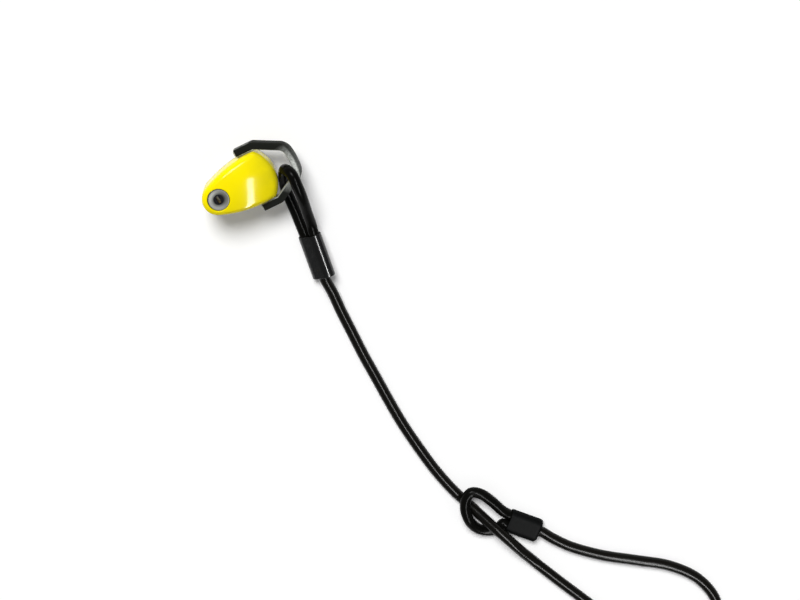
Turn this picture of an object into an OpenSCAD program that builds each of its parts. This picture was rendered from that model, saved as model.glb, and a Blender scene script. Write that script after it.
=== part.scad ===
// Brake disc lock with a security cable hooked through its steel bracket.
// The lock lies on its far jaw with the key face up, and the cable lies beside it.
// Origin: on the locking pin's axis, at the far jaw's outer face. X runs from the nose
// to the bracket, Z along the pin towards the key. Millimetres.

/* [Jaws] */
// Width of the slot that takes the brake disc
slot_w = 7; // [6:0.5:8]
// Depth of the slot behind the pin's axis
throat_d = 34; // [30:1:35]
// Thickness of the far jaw
far_jaw_t = 12; // [11:0.5:14]
// Diameter of the locking pin
pin_d = 7; // [6:0.5:8]
// How far the pin's tip reaches into the far jaw
pin_grip = 3; // [2:0.5:4]

/* [Shell] */
// Radius of the shell's nose about the pin's axis
nose_r = 16.5; // [15.5:0.5:17.5]
// Angle at which each flank leaves the nose
flank_angle = 23.5; // [22:0.5:25]
// Radius of each bowed flank
flank_r = 125; // [115:5:135]
// Distance from the pin's axis to the shell's rear
rear_x = 61.5; // [59.5:0.5:64]
// Radius of the shell's bowed rear face
rear_r = 35; // [33:1:42]
// Corner radius of the shell in plan
corner_r = 6; // [5.5:0.5:8]
// Rounding of the shell's top edge
edge_r = 5; // [4:0.5:5]
// Wall thickness of the shell
wall = 2.5; // [2:0.1:2.8]

/* [Key cylinder] */
// Diameter of the push-in barrel
barrel_d = 21; // [20:0.5:21.5]
// Diameter of the key plug
plug_d = 13; // [12.5:0.25:13.5]
// Travel of the latch pawl
latch_throw = 2.5; // [2:0.1:2.5]

/* [Bracket] */
// Thickness of the steel strap
strap_t = 7.5; // [6.5:0.5:8.5]
// Height of the strap
strap_h = 12; // [11:0.5:14]
// Distance from the shell's rear to the strap's back
reach = 25; // [23.5:0.5:29]
// Angle of the strap's rear legs to the lock's middle plane
leg_angle = 28; // [26:0.5:30]
// Upward slope of the bracket towards its back
strap_slope = 6; // [4:0.5:8]

/* [Cable] */
// Diameter of the covered cable
cable_d = 11.25; // [10:0.25:11.5]
// Wall thickness of the two shrouds over the ferrules
shroud_wall = 0.8; // [0.6:0.1:1.2]

/* [Hidden] */
$fn = 64;
fit = 0.05;        // radial running clearance
seat = 0.3;        // gap between the shell and what it covers
e = 0.5;           // overrun of a cutter
steel = [0.55, 0.56, 0.55];
dark = [0.25, 0.26, 0.26];
yellow = [0.93, 0.87, 0.12];
black = [0.07, 0.07, 0.06];
brass = [0.78, 0.66, 0.36];
alloy = [0.72, 0.73, 0.74];

// heights, from the floor up
slot_z = far_jaw_t + slot_w;
floor_z = slot_z + 4;
travel = slot_w + pin_grip + 1;
carrier_z = floor_z + 5.2;
pawl_z = carrier_z + 3.2;
cam_z = pawl_z + 3.4;
plug_z = cam_z + 3.3;
jaw_z = slot_z + 17.5;
collar_z = pawl_z + 3.2 + travel + 0.9;
ring_z = collar_z + 1.5;
face_z = ring_z + 2;
crown_z = face_z + 1.5;

// lock plan
inset = wall + seat;
crown_x = 10;
crown_rx = 130;
crown_ry = 70;

function polar(c, r, a) = [c[0] + r * cos(a), c[1] + r * sin(a)];
function arc(c, r, a0, a1, n, from = 0) = [for (i = [from:n]) polar(c, r, a0 + (a1 - a0) * i / n)];
function lerp(a, b, t) = a + (b - a) * t;
// centre of the arc of radius r that blends a line (normal at angle a, distance d from
// the origin) into the circle of radius big about (xc, 0)
function blend(a, d, r, xc, big) =
    let (t = [sin(a), -cos(a)], p = (d - r) * [cos(a), sin(a)], q = p - [xc, 0],
         b = q * t, c = q * q - (big - r) * (big - r))
    p + (sqrt(b * b - c) - b) * t;
// the point at distance r from p and s from q, on the right of the way from p to q
function meet(p, r, q, s) =
    let (d = norm(q - p), u = (q - p) / d, a = (r * r - s * s + d * d) / (2 * d))
    p + a * u + sqrt(r * r - a * a) * [u[1], -u[0]];
function angle_from(c, o) = atan2(c[1] - o[1], c[0] - o[0]);
// a half outline, closed by its mirror image in the middle plane
function closed(h) = concat(h, [for (i = [len(h) - 2:-1:1]) [h[i][0], -h[i][1]]]);

flank_a = 90 + flank_angle;
flank_c = polar([0, 0], nose_r - flank_r, flank_a);
rear_c = [rear_x - rear_r, 0];
corner_c = meet(flank_c, flank_r - corner_r, rear_c, rear_r - corner_r);
corner_in = angle_from(corner_c, flank_c);
corner_out = angle_from(corner_c, rear_c);
function half_plan(d) = concat(
    arc([0, 0], nose_r - d, 180, flank_a, 12),
    arc(flank_c, flank_r - d, flank_a, corner_in, 8, 1),
    arc(corner_c, corner_r - d, corner_in, corner_out, 4, 1),
    arc(rear_c, rear_r - d, corner_out, 0, 8, 1));
function plan(d) = closed(half_plan(d));
// top of the shell: level over the nose, falling away to the rear and to both flanks
function crown(p) = crown_z - pow(max(p[0] - crown_x, 0), 2) / (2 * crown_rx) - pow(p[1], 2) / (2 * crown_ry);

// the strap's plan, in its own sloping frame; its seats lie at the shell's widest point
standoff = 1;
pad_x = flank_c[0];
pad_y = flank_c[1] + flank_r + standoff;
strap_y = pad_y + strap_t;
seat_x = pad_x - 1;
rivet_pitch = 9;
rivet_x = [seat_x - rivet_pitch / 2, seat_x + rivet_pitch / 2];
strap_rise = 14;
strap_mid = [pad_x, 0, far_jaw_t + slot_w / 2 + strap_rise];
root_run = 10.5;     // from the seats' middle to the strap's sawn ends
shoulder_run = 8.5;  // from the seats' middle to the first bends
back_bow = 36;       // what the back's radius has over half the strap's width
root_x = pad_x - root_run;
shoulder_x = pad_x + shoulder_run;
bracket_x = rear_x + reach;
bend_r = strap_t + 1.5;
back_bend_r = strap_t + 7;
bend_c = [shoulder_x, strap_y - bend_r];
back_r = strap_y + back_bow;
leg_a = 90 - leg_angle;
leg_d = bend_c * [cos(leg_a), sin(leg_a)] + bend_r;
back_c = bracket_x - back_r;
back_bend_c = blend(leg_a, leg_d, back_bend_r, back_c, back_r);
back_bend_a = angle_from(back_bend_c, [back_c, 0]);
function half_strap(d) = concat(
    [[root_x, strap_y - d]],
    arc(bend_c, bend_r - d, 90, leg_a, 8),
    arc(back_bend_c, back_bend_r - d, leg_a, back_bend_a, 8),
    arc([back_c, 0], back_r - d, back_bend_a, 0, 8, 1));
function flipped(h) = [for (i = [len(h) - 1:-1:0]) h[i]];
function mirrored(h) = [for (p = h) [p[0], -p[1]]];
strap_plan = concat(half_strap(0), flipped(mirrored(half_strap(0))),
                    mirrored(half_strap(strap_t)), flipped(half_strap(strap_t)));

module in_bracket()
    translate(strap_mid) rotate([0, -strap_slope, 0]) translate([-strap_mid[0], 0, 0]) children();
// a frame on the flank's seat, local Z pointing outwards
module on_flank(side, x)
    mirror([0, side < 0 ? 1 : 0, 0]) translate([x, pad_y, 0]) rotate([-90, 0, 0]) children();

// cable routes: x, y, z, all by hand
strand = cable_d / 2 + 0.4;
shroud_r = cable_d / 2 + 0.7 + shroud_wall;
cable_z = cable_d / 2 + 0.02;
rise = cable_d + 0.6;
// each shroud's mouth and axis, how far it is rolled about that axis, and the side its strands lie on
lock_roll = 40;
mouth = [59, -81, shroud_r + strand * sin(lock_roll) + 0.02];
ferrule_a = [-0.14, -0.99, 0];
ferrule_p = [0.99 * cos(lock_roll), -0.14 * cos(lock_roll), sin(lock_roll)];
far_mouth = [103, -454, shroud_r + 0.02];
far_a = [0.66, -0.75, 0];
far_p = [0.75, 0.66, 0];
function at(o, a, p, s, w) = o + a * s + p * w;
// along each shroud from its mouth: the ferrule's start and end, and the shroud's length
lock_sleeve = [6, 41, 46];
far_sleeve = [5, 31, 35.5];
lock_end = [lock_sleeve[0] + 18, lock_sleeve[0] + 19.5];
far_end = [far_sleeve[0] + 13, far_sleeve[0] + 14.5];
lock_eye_route = concat(
    [for (s = [lock_end[0], 11, 4.5, -2]) at(mouth, ferrule_a, ferrule_p, s, -strand)],
    [[55.5, -70, cable_z + 0.9], [57, -56, cable_z + 0.4], [58, -42.5, cable_z + 0.2],
     [59.2, -30.5, cable_z + 1.1], [62.6, -18.5, cable_z + 6], [68.2, -8, cable_z + 22],
     [72.2, -5, cable_z + 37.5], [75.5, -10.5, cable_z + 45], [75, -22, cable_z + 45],
     [73, -37, cable_z + 37], [69, -55.5, cable_z + 22], [66, -70.5, cable_z + 11.3]],
    [for (s = [-2, 4.5, 11, lock_end[0]]) at(mouth, ferrule_a, ferrule_p, s, strand)]);
far_eye_route = concat(
    [for (s = [far_end[0], 10, 4, -2]) at(far_mouth, far_a, far_p, s, strand)],
    [[101.5, -439, cable_z + 4.5], [97, -424.5, cable_z + 7.5], [91.3, -410.8, cable_z + rise - 0.6],
     [83, -404, cable_z + rise], [75, -407.5, cable_z + rise], [69, -417.2, cable_z + rise],
     [66.8, -429.5, cable_z + rise - 1.6], [68, -441.3, cable_z + 5], [73, -450.5, cable_z + 1.5],
     [81.2, -456.2, cable_z], [89.4, -457.4, cable_z + 0.4]],
    [for (s = [-4, 1, 8, far_end[0]]) at(far_mouth, far_a, far_p, s, -strand)]);
run_route = concat(
    [for (s = [lock_end[1], 41, 46, 51]) at(mouth, ferrule_a, ferrule_p, s, 0)],
    [[52, -146, cable_z + 3], [50.5, -169, cable_z + 0.4]],
    [for (p = [[50, -194], [49.5, -220.5], [50, -248.5], [50.5, -278.5], [51.8, -308.2], [55.2, -340.4],
               [59.5, -369.5], [65.7, -396]]) [p[0], p[1], cable_z]],
    [[72.5, -416, cable_z + 0.2], [79.8, -434.3, cable_z + 5.5], [87, -451.7, cable_z + rise - 0.8],
     [91.2, -462.3, cable_z + rise], [96.2, -476.8, cable_z + rise - 1.2], [100.5, -491, cable_z + 6.5],
     [105, -504.3, cable_z + 2.5], [109.7, -517.1, cable_z + 0.4]],
    [for (p = [[121, -543.5], [133.8, -571.9], [146, -599.3], [156, -629.5], [170, -657.5], [191, -678.5],
               [219.5, -686], [246, -673.5], [260.5, -644.5], [254.5, -611.5], [233.5, -583], [204, -560],
               [175, -538.3]]) [p[0], p[1], cable_z]],
    [[150.7, -515.4, cable_z], [137, -497, cable_z + 1]],
    [for (s = [40, 35.5, 31, far_end[1]]) at(far_mouth, far_a, far_p, s, 0)]);

function clip(i, n) = min(max(i, 0), n - 1);
function spline(p, i, t) =
    let (n = len(p), a = p[clip(i - 1, n)], b = p[i], c = p[clip(i + 1, n)], d = p[clip(i + 2, n)])
    b + 0.5 * t * ((c - a) + t * ((2 * a - 5 * b + 4 * c - d) + t * (3 * (b - c) + d - a)));
function smooth(p, k) = concat(
    [for (i = [0:len(p) - 2], j = [0:k - 1]) spline(p, i, j / k)],
    [p[len(p) - 1]]);
function unit(v) = v / norm(v);
function tangent(p, i) = unit(p[clip(i + 1, len(p))] - p[clip(i - 1, len(p))]);

// a closed round tube along a route, its section kept square to the reference direction
module tube(path, r, n, ref) {
    m = len(path);
    pts = [for (i = [0:m - 1])
        let (t = tangent(path, i), u = unit(cross(t, ref)), v = cross(u, t))
        for (k = [0:n - 1]) path[i] + r * (cos(360 * k / n) * u + sin(360 * k / n) * v)];
    faces = concat([[for (k = [0:n - 1]) k]],
        [for (i = [0:m - 2], k = [0:n - 1])
            let (a = i * n + k, b = i * n + (k + 1) % n) each [[a, a + n, b + n], [a, b + n, b]]],
        [[for (k = [n - 1:-1:0]) (m - 1) * n + k]]);
    polyhedron(pts, faces);
}

// lock body

body_r = barrel_d / 2 + fit;
collar_r = nose_r - inset - 0.25;
web = [16, 11];
screw_at = [[27, 13], [27, -13]];

rivet_r = 2.5;
rivet_head = 1.8;
rivet_in = 8;
pad = [15, 10, inset + standoff + 2];
// seats for the strap on the body's flanks, or with some room the notches they need
module pads(room)
    in_bracket() for (side = [-1, 1])
        on_flank(side, seat_x)
            translate([-pad[0] / 2 - room, -pad[1] / 2 - room, -pad[2]])
                cube([pad[0] + 2 * room, pad[1] + 2 * room + (room > 0 ? pad[1] : 0),
                      pad[2] + (room > 0 ? strap_t : 0)]);

module body_casting() color(steel) difference() {
    union() {
        linear_extrude(jaw_z) polygon(plan(inset));
        translate([0, 0, slot_z]) cylinder(r = collar_r, h = collar_z - slot_z);
        translate([0, -web[1] / 2, slot_z]) cube([web[0], web[1], collar_z - slot_z]);
        pads(0);
    }
    translate([-rear_x, -rear_x, far_jaw_t]) cube([rear_x + throat_d, 2 * rear_x, slot_w]);
    translate([0, 0, floor_z]) cylinder(r = body_r, h = collar_z - floor_z + e);
    translate([0, 0, slot_z - e]) cylinder(r = pin_d / 2 + fit, h = 10);
    translate([0, 0, far_jaw_t - pin_grip - 1]) cylinder(r = pin_d / 2 + 0.3, h = pin_grip + 1 + e);
    translate([0, -3.3, pawl_z - 0.3]) cube([body_r + latch_throw + 0.3, 6.6, 3.8]);
    translate([0, -3.3, pawl_z + travel - 0.3]) cube([body_r + latch_throw + 0.3, 6.6, 20]);
    translate([0, -9, stop_z]) rotate([90, 0, 0]) cylinder(r = 2 + fit, h = 10);
    for (p = screw_at) translate([p[0], p[1], slot_z]) {
        translate([0, 0, -e]) cylinder(r = 4, h = 3 + e);
        cylinder(r = 2.25, h = jaw_z - slot_z + e);
    }
    in_bracket() for (side = [-1, 1], x = rivet_x)
        on_flank(side, x)
            translate([0, 0, -rivet_in - seat]) cylinder(r = rivet_r + fit, h = rivet_in + standoff + e);
}

stop_z = collar_z - 6;
module stop_screw() color(dark) translate([0, 0, stop_z]) rotate([90, 0, 0]) difference() {
    union() {
        translate([0, 0, body_r + 0.05]) cylinder(r = 2, h = collar_r - body_r - 0.1);
        translate([0, 0, barrel_d / 2 - 1.2]) cylinder(r = 1.2, h = 2);
    }
    translate([0, 0, collar_r - 1.2]) cylinder(r = 1, h = 3, $fn = 6);
}

// shell

shell_z = slot_z + 0.5;
module shell_blank() {
    n = len(plan(0));
    rings = [for (q = [0, 22.5, 45, 67.5, 90]) q];
    spread = [0.78, 0.55, 0.32];
    top = plan(edge_r);
    hub = [24, 0];
    pts = concat(
        [for (p = plan(0)) [p[0], p[1], shell_z]],
        [for (q = rings) for (p = plan(edge_r * (1 - cos(q))))
            [p[0], p[1], crown(p) - edge_r * (1 - sin(q))]],
        [for (s = spread) for (p = top) let (w = lerp(hub, p, s)) [w[0], w[1], crown(w)]],
        [[hub[0], hub[1], crown(hub)]]);
    rows = 1 + len(rings) + len(spread);
    faces = concat([[for (k = [n - 1:-1:0]) k]],
        [for (i = [0:rows - 2], k = [0:n - 1])
            let (a = i * n + k, b = i * n + (k + 1) % n) each [[a, b, b + n], [a, b + n, a + n]]],
        [for (k = [0:n - 1]) [(rows - 1) * n + k, (rows - 1) * n + (k + 1) % n, rows * n]]);
    polyhedron(pts, faces);
}

hole_r = barrel_d / 2 + 0.5;
module shell() color(yellow) difference() {
    shell_blank();
    translate([0, 0, slot_z - 2]) linear_extrude(jaw_z + seat - slot_z + 2) polygon(plan(wall));
    translate([0, 0, slot_z]) cylinder(r = collar_r + seat, h = collar_z + seat - slot_z);
    translate([0, -web[1] / 2 - seat, slot_z])
        cube([web[0] + seat, web[1] + 2 * seat, collar_z + seat - slot_z]);
    translate([0, 0, slot_z]) cylinder(r = hole_r, h = crown_z - slot_z + e);
    translate([0, 0, face_z]) cylinder(r1 = hole_r - 0.4, r2 = hole_r + 2.6, h = 3);
    translate([0, 0, collar_z + 0.8]) cylinder(r = hole_r + 1, h = 1.6);
    pads(0.4);
    for (p = screw_at) translate([p[0], p[1], jaw_z]) cylinder(r = 2 + fit, h = 6.5);
}

module barrel_seal() color(black) translate([0, 0, collar_z + 1.6])
    rotate_extrude() translate([barrel_d / 2 + 0.8, 0]) circle(r = 0.65, $fn = 24);

module shell_screws() color(dark) for (p = screw_at) translate([p[0], p[1], slot_z]) difference() {
    rotate_extrude() polygon([[0, 0.3], [3.2, 0.3], [3.7, 0.8], [3.7, 2.9], [2, 2.9],
                              [2, jaw_z - slot_z + 5.3], [1.3, jaw_z - slot_z + 6], [0, jaw_z - slot_z + 6]]);
    cylinder(r = 1.6, h = 2, $fn = 6);
}

// bracket

module cable_bracket() color(steel) in_bracket() difference() {
    translate([0, 0, -strap_h / 2]) linear_extrude(strap_h) polygon(strap_plan);
    for (side = [-1, 1], x = rivet_x) on_flank(side, x) {
        translate([0, 0, -e]) cylinder(r = rivet_r + fit, h = strap_t + 2 * e);
        translate([0, 0, strap_t - rivet_head])
            cylinder(r1 = rivet_r + fit, r2 = rivet_r + rivet_head + fit, h = rivet_head + 0.002);
    }
}

module bracket_rivets() color(dark) in_bracket() for (side = [-1, 1], x = rivet_x)
    on_flank(side, x) rotate_extrude()
        polygon([[0, -rivet_in], [rivet_r, -rivet_in], [rivet_r, strap_t - rivet_head],
                 [rivet_r + rivet_head - 0.2, strap_t - 0.2], [rivet_r + rivet_head - 0.5, strap_t],
                 [0, strap_t]]);

// plunger: barrel, steel face, pin

bore_r = plug_d / 2 + fit;
under_r = plug_d / 2 + 1.25;
module plunger_barrel() color(alloy) difference() {
    rotate_extrude() polygon([
        [under_r, floor_z + 0.3], [barrel_d / 2 - 0.5, floor_z + 0.3], [barrel_d / 2, floor_z + 0.8],
        [barrel_d / 2, ring_z], [barrel_d / 2 - 1.5, ring_z], [barrel_d / 2 - 1.5, ring_z - 1],
        [bore_r, ring_z - 1], [bore_r, cam_z - 0.1], [0, cam_z - 0.1], [0, carrier_z + 3.1],
        [under_r, carrier_z + 3.1]]);
    translate([-4.8, -3.05, pawl_z - 0.2]) cube([20, 6.1, 3.6]);
    translate([-1.4, -barrel_d / 2 - 1, stop_z - travel - 1.4]) cube([2.8, 2.5, travel + 3]);
}

module face_ring() color(steel) rotate_extrude() polygon([
    [bore_r + 0.1, ring_z - 0.9], [barrel_d / 2 - 1.55, ring_z - 0.9], [barrel_d / 2 - 1.55, ring_z],
    [barrel_d / 2, ring_z], [barrel_d / 2, face_z - 0.4], [barrel_d / 2 - 0.4, face_z],
    [barrel_d / 2 - 1.2, face_z], [5.6, face_z - 0.9], [5, face_z - 1.3], [5, ring_z],
    [bore_r + 0.1, ring_z]]);

module pin_carrier() color(steel) translate([0, 0, carrier_z]) difference() {
    cylinder(r = under_r - fit, h = 3);
    translate([0, 0, -e]) cylinder(r = pin_d / 2 + 0.02, h = 5);
}

module locking_pin() color(steel) rotate_extrude() polygon([
    [0, far_jaw_t - pin_grip], [pin_d / 2 - 0.8, far_jaw_t - pin_grip],
    [pin_d / 2, far_jaw_t - pin_grip + 0.8], [pin_d / 2, carrier_z + 3], [0, carrier_z + 3]]);

spring_route = [for (i = [0:56]) let (a = 360 * 3.5 * i / 56)
    [5.7 * cos(a), 5.7 * sin(a), floor_z + 0.5 + 4.2 * i / 56]];
module return_spring() color(steel) tube(spring_route, 0.4, 6, [0, 0, 1]);

// plug: key core, discs, cam

module keyway(z, h) translate([-1.3, -3.8, z]) cube([2.6, 7.6, h]);

module key_plug() color(brass) difference() {
    rotate_extrude() polygon([
        [plug_d / 2 - 1.1, plug_z], [plug_d / 2, plug_z], [plug_d / 2, ring_z - 0.2], [0, ring_z - 0.2],
        [0, ring_z - 1.6], [plug_d / 2 - 1.1, ring_z - 1.6]]);
    keyway(ring_z - 3, 5);
    translate([-0.8, plug_d / 2 - 2, plug_z + 1.7]) cube([1.6, 4, ring_z - plug_z - 3.6]);
}

module drill_guard() color(dark) difference() {
    translate([0, 0, ring_z - 0.15]) cylinder(r = 4.92, h = 0.75);
    keyway(ring_z - 1, 5);
}

disc_pitch = (ring_z - 1.7 - plug_z - 1.2) / 5;
disc_r = plug_d / 2 - 1.3;
module detainer_discs() color(brass) for (i = [0:4])
    translate([0, 0, plug_z + 1.25 + i * disc_pitch]) difference() {
        cylinder(r = disc_r, h = disc_pitch - 0.45);
        translate([0, 0, -e]) rotate(i * 72) translate([-1, disc_r - 0.7, 0]) cube([2, 2, 5]);
        translate([-1.4, -3.5, -e]) cube([2.8, 7, 5]);
    }

module disc_spacers() color(steel) for (i = [0:3])
    translate([0, 0, plug_z + 1.25 + (i + 1) * disc_pitch - 0.4]) difference() {
        cylinder(r = disc_r, h = 0.35);
        translate([0, 0, -e]) cylinder(r = disc_r - 1.2, h = 2);
    }

module sidebar() color(steel)
    translate([-0.7, disc_r + 0.1, plug_z + 1.9]) cube([1.4, 1, ring_z - plug_z - 4]);

// the groove that drives the pawl's peg: a spiral over the plug's quarter turn
peg_x = 2.3;
peg_r = 1;
groove_r = peg_r + 0.15;
groove_steps = 12;
function scroll(i) = polar([0, 0], peg_x + latch_throw * i / groove_steps, -90 * i / groove_steps);
function scroll_normal(i) = let (t = unit(scroll(i + 0.5) - scroll(i - 0.5))) [-t[1], t[0]];
function scroll_side(w) = [for (i = [0:groove_steps]) scroll(i) + w * scroll_normal(i)];
module latch_cam() color(steel) difference() {
    union() {
        translate([0, 0, cam_z]) cylinder(r = plug_d / 2 - 0.1, h = 3.2);
        translate([0, 0, cam_z + 3]) cylinder(r = plug_d / 2 - 1.15, h = 1.3);
    }
    translate([0, 0, cam_z - e]) {
        linear_extrude(e + 3) polygon(concat(scroll_side(groove_r), flipped(scroll_side(-groove_r))));
        for (i = [0, groove_steps]) translate(scroll(i)) cylinder(r = groove_r, h = e + 3);
    }
}

module latch_pawl() color(steel) {
    intersection() {
        translate([-3.6, -3, pawl_z]) cube([barrel_d, 6, 3.2]);
        translate([0, 0, pawl_z]) cylinder(r = barrel_d / 2 - 0.1, h = 3.2);
    }
    translate([peg_x, 0, pawl_z + 3]) cylinder(r = peg_r, h = 2.8);
}

// cable

module lock_eye() color(black) tube(smooth(lock_eye_route, 2), cable_d / 2, 10, [1, 0, 0]);
module far_eye() color(black) tube(smooth(far_eye_route, 2), cable_d / 2, 10, [0, 0, 1]);
module cable_run() color(black) tube(smooth(run_route, 2), cable_d / 2, 10, [0, 0, 1]);

// a shroud's own frame: Z along its axis from the mouth, X towards its second strand
module in_sleeve(o, a, roll)
    translate(o) rotate([0, 0, atan2(a[1], a[0])]) rotate([90, 0, 90]) rotate(roll) children();

// a flat-sided oval bar between two distances from the mouth
module oval(s0, s1, r) translate([0, 0, s0]) linear_extrude(s1 - s0) {
    square([2 * strand, 2 * r], center = true);
    for (side = [-1, 1]) translate([side * strand, 0]) circle(r = r);
}

module bore(s0, s1, w, r) translate([w, 0, s0]) cylinder(r = r, h = s1 - s0);

module ferrule(ends, sleeve) difference() {
    oval(sleeve[0], sleeve[1], cable_d / 2 + 0.6);
    for (side = [-1, 1]) bore(sleeve[0] - e, ends[0] + 0.2, side * strand, cable_d / 2 + fit);
    bore(ends[1] - 0.2, sleeve[1] + e, 0, cable_d / 2 + fit);
}

module shroud(sleeve) difference() {
    oval(0, sleeve[2], shroud_r);
    oval(-e, sleeve[1] + 0.05, cable_d / 2 + 0.7);
    bore(sleeve[1] - e, sleeve[2] + e, 0, cable_d / 2 + 0.2);
}

module lock_ferrule() color(alloy) in_sleeve(mouth, ferrule_a, lock_roll) ferrule(lock_end, lock_sleeve);
module lock_shroud() color(black) in_sleeve(mouth, ferrule_a, lock_roll) shroud(lock_sleeve);
module far_ferrule() color(alloy) in_sleeve(far_mouth, far_a, 0) ferrule(far_end, far_sleeve);
module far_shroud() color(black) in_sleeve(far_mouth, far_a, 0) shroud(far_sleeve);

body_casting();
shell();
shell_screws();
cable_bracket();
bracket_rivets();
stop_screw();
barrel_seal();
return_spring();
plunger_barrel();
face_ring();
pin_carrier();
locking_pin();
key_plug();
drill_guard();
detainer_discs();
disc_spacers();
sidebar();
latch_cam();
latch_pawl();
lock_eye();
cable_run();
far_eye();
lock_ferrule();
lock_shroud();
far_ferrule();
far_shroud();
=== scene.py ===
"""Looks of a brake disc lock and of the security cable hooked through its steel bracket.

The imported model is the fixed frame: origin on the locking pin's axis at the far jaw's outer
face, X from the nose to the bracket, Z along the pin. Sizes below are in millimetres, and
become metres when a mesh is made.
"""

import logging
import math
from dataclasses import dataclass
from enum import Enum

import bmesh
import bpy
import numpy as np
from mathutils import Matrix, Vector

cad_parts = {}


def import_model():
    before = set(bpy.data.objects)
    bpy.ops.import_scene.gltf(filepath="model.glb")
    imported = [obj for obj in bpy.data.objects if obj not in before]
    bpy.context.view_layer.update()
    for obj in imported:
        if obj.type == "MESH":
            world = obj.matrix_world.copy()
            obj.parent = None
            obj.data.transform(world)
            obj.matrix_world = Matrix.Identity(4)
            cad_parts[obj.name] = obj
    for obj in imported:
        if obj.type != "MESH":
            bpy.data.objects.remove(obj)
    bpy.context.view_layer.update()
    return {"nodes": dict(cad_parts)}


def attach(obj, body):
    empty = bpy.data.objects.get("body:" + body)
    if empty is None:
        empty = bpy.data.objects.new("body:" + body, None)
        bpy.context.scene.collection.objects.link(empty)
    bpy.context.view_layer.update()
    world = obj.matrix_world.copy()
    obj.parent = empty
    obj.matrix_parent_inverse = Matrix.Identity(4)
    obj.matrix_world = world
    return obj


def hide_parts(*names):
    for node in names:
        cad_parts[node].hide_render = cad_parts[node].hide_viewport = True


MM = 0.001
# what lies on the floor is this far above it, and points that are nearer than the second are one
FLOOR_GAP = 0.02
DOUBLE_WITHIN = 0.001
WHITE = (1.0, 1.0, 1.0, 1.0)
log = logging.getLogger("disc_lock")


class Body(Enum):
    """The bodies that the new pieces ride on."""

    LOCK = "lock_body"
    PLUNGER = "plunger"


# shapes


def arc(centre: tuple[float, float] | np.ndarray, radius: float, start: float, end: float,
        count: int) -> np.ndarray:
    """Points on a circle: centre + radius (cos a, sin a) for a from start to end degrees.

    Args:
        centre: the circle's centre.
        radius: its radius.
        start: first angle, degrees.
        end: last angle, degrees.
        count: number of points.

    Returns:
        An array of count by 2.
    """
    a = np.radians(np.linspace(start, end, count))
    return np.asarray(centre) + radius * np.stack([np.cos(a), np.sin(a)], -1)


def blend_centre(normal: float, distance: float, radius: float, circle_x: float,
                 circle_r: float) -> np.ndarray:
    """Centre of the arc that blends a line into a circle whose centre is on the X axis.

    The centre lies radius inside the line, and circle_r - radius from (circle_x, 0).

    Args:
        normal: angle of the line's outward normal, degrees.
        distance: the line's distance from the origin.
        radius: radius of the blending arc.
        circle_x: the circle's centre on the X axis.
        circle_r: the circle's radius.

    Returns:
        The centre, as two numbers.
    """
    a = math.radians(normal)
    along = np.array([math.sin(a), -math.cos(a)])
    foot = (distance - radius) * np.array([math.cos(a), math.sin(a)])
    q = foot - np.array([circle_x, 0.0])
    b = q @ along
    c = q @ q - (circle_r - radius) ** 2
    return foot + (math.sqrt(b * b - c) - b) * along


def spline(route: np.ndarray, steps: int) -> np.ndarray:
    """Smooth cubic curve through a route's points, with steps pieces between each two.

    b + t/2 ((c - a) + t ((2a - 5b + 4c - d) + t (3 (b - c) + d - a))), with the ends repeated.

    Args:
        route: points, n by 3.
        steps: pieces between two points.

    Returns:
        The curve's points, (n - 1) steps + 1 by 3.
    """
    p = np.vstack([route[:1], route, route[-1:]])
    a, b, c, d = (p[i:len(p) - 3 + i, None, :] for i in range(4))
    t = (np.arange(steps) / steps)[None, :, None]
    curve = b + 0.5 * t * ((c - a) + t * ((2 * a - 5 * b + 4 * c - d) + t * (3 * (b - c) + d - a)))
    return np.vstack([curve.reshape(-1, 3), route[-1:]])


def unit(v: np.ndarray) -> np.ndarray:
    """Vectors scaled to length one along the last axis."""
    return v / np.linalg.norm(v, axis=-1, keepdims=True)


def sweep(path: np.ndarray, section: np.ndarray, ref: tuple[float, float, float]) -> np.ndarray:
    """A section carried along a path, square to it: path + x u + y v.

    u is the tangent crossed with the reference direction, and v is u crossed with the tangent.

    Args:
        path: centre line, n by 3.
        section: outline in u and v, k by 2 or n by k by 2.
        ref: direction that the section's v keeps to.

    Returns:
        A grid of points, n by k by 3.
    """
    t = unit(np.gradient(path, axis=0))
    u = unit(np.cross(t, np.asarray(ref)))
    v = np.cross(u, t)
    s = np.broadcast_to(section, (len(path),) + section.shape[-2:])
    return path[:, None] + s[..., :1] * u[:, None] + s[..., 1:] * v[:, None]


def lathe(profile: np.ndarray, count: int) -> np.ndarray:
    """A profile of radius and height turned about Z: (r cos a, r sin a, z).

    Args:
        profile: radius and height, n by 2.
        count: points round the axis.

    Returns:
        A grid of points, n by count by 3.
    """
    ring = arc((0.0, 0.0), 1.0, 0.0, 360.0, count + 1)[:-1]
    r = profile[:, None, :1] * ring
    z = np.broadcast_to(profile[:, None, 1:], r.shape[:2] + (1,))
    return np.concatenate([r, z], -1)


def rounded(corners: list[tuple[float, float, float]], count: int = 5) -> np.ndarray:
    """An outline whose corners are arcs: each corner is x, y and the rounding's radius.

    Each arc touches both edges at radius / tan(half the corner's angle) from the corner and
    is drawn as a quadratic curve, which is close enough to a circle for small roundings.

    Args:
        corners: x, y and radius of each corner.
        count: points on each arc.

    Returns:
        The closed outline, without its first point repeated.
    """
    c = np.array(corners, float)
    p = c[:, :2]
    back = unit(np.roll(p, 1, 0) - p)
    ahead = unit(np.roll(p, -1, 0) - p)
    half = np.arccos(np.clip((back * ahead).sum(-1), -1, 1)) / 2
    reach = (c[:, 2] / np.tan(half))[:, None]
    t = np.linspace(0, 1, count)[None, :, None]
    a, b = (p + back * reach)[:, None], (p + ahead * reach)[:, None]
    curve = (1 - t) ** 2 * a + 2 * t * (1 - t) * p[:, None] + t ** 2 * b
    return curve.reshape(-1, 2)


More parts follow.
